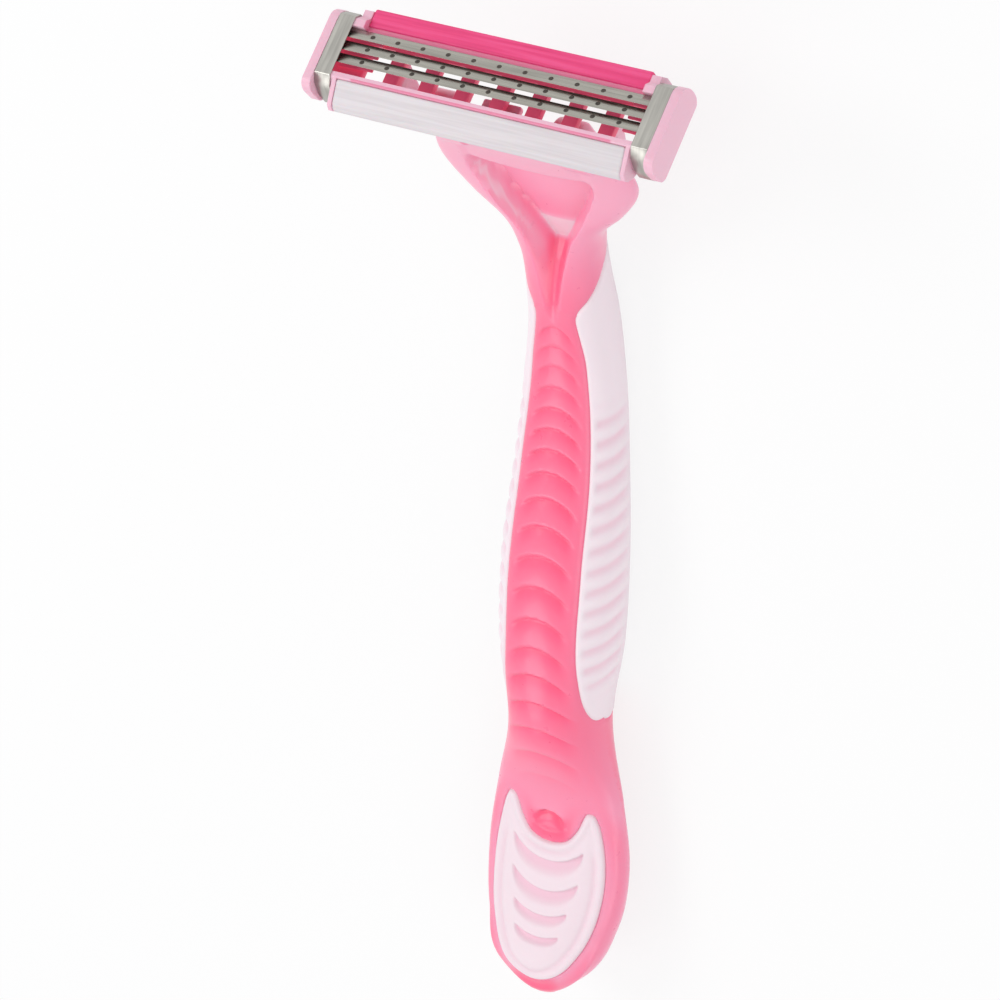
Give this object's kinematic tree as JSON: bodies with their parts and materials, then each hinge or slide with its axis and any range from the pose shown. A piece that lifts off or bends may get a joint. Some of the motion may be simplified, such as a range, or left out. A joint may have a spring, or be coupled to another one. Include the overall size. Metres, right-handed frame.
{
  "type": "cartridge razor",
  "caption": "Wet-shaving razor with a ribbed soft-sleeved handle, a two-armed yoke and a pivoting head with sprung blades, metal end clips, a guard bar and a lubricating strip.",
  "frame": {"origin": "centre of the footprint on the surface that the razor lies on, under its back", "axes": "+X along the blades, to the right seen from the front; +Y along the handle from tail to head; +Z out of the front (blade) side"},
  "size_m": [0.0408, 0.1184, 0.0258],
  "materials": {
    "core_plastic": "translucent hot pink moulding, soft gloss",
    "soft_grip": "pale pink-white satin elastomer",
    "soft_pad": "pale pink-white satin elastomer",
    "housing_plastic": "pale pink satin moulding",
    "strip_polymer": "hot pink water-soluble strip, satin",
    "guard_rubber": "white satin elastomer",
    "clip_metal": "brushed, bent strip",
    "blade_steel": "ground edge, fine satin",
    "support_steel": "bright drawn strip"
  },
  "bodies": {
    "handle": {"handle_core": "core_plastic", "grip_sleeve": "soft_grip", "tail_pad": "soft_pad", "return_tongue": "core_plastic"},
    "cartridge": {"cartridge_frame": "housing_plastic", "lubricating_strip": "strip_polymer", "guard_strip": "guard_rubber", "clip_left": "clip_metal", "clip_right": "clip_metal", "blade_spring_left_1": "housing_plastic", "blade_spring_right_1": "housing_plastic", "blade_spring_left_2": "housing_plastic", "blade_spring_right_2": "housing_plastic", "blade_spring_left_3": "housing_plastic", "blade_spring_right_3": "housing_plastic"},
    "blade_1_unit": {"blade_1": "blade_steel", "blade_support_1": "support_steel"},
    "blade_2_unit": {"blade_2": "blade_steel", "blade_support_2": "support_steel"},
    "blade_3_unit": {"blade_3": "blade_steel", "blade_support_3": "support_steel"}
  },
  "joints": [
    {"name": "head_pivot", "type": "hinge", "parent": "handle", "child": "cartridge", "pos_m": [0, 0.05107, 0.01904], "axis": [1, 0, 0], "range_deg": [-20, 20], "stiffness_Nm_per_rad": 0.012, "deforming": ["return_tongue"]},
    {"name": "blade_1_float", "type": "slide", "parent": "cartridge", "child": "blade_1_unit", "axis": [0, -0.7193, -0.6947], "range_m": [0, 0.00035], "stiffness_N_per_m": 400, "deforming": ["blade_spring_left_1", "blade_spring_right_1"]},
    {"name": "blade_2_float", "type": "slide", "parent": "cartridge", "child": "blade_2_unit", "axis": [0, -0.7193, -0.6947], "range_m": [0, 0.00035], "stiffness_N_per_m": 400, "deforming": ["blade_spring_left_2", "blade_spring_right_2"]},
    {"name": "blade_3_float", "type": "slide", "parent": "cartridge", "child": "blade_3_unit", "axis": [0, -0.7193, -0.6947], "range_m": [0, 0.00035], "stiffness_N_per_m": 400, "deforming": ["blade_spring_left_3", "blade_spring_right_3"]}
  ]
}
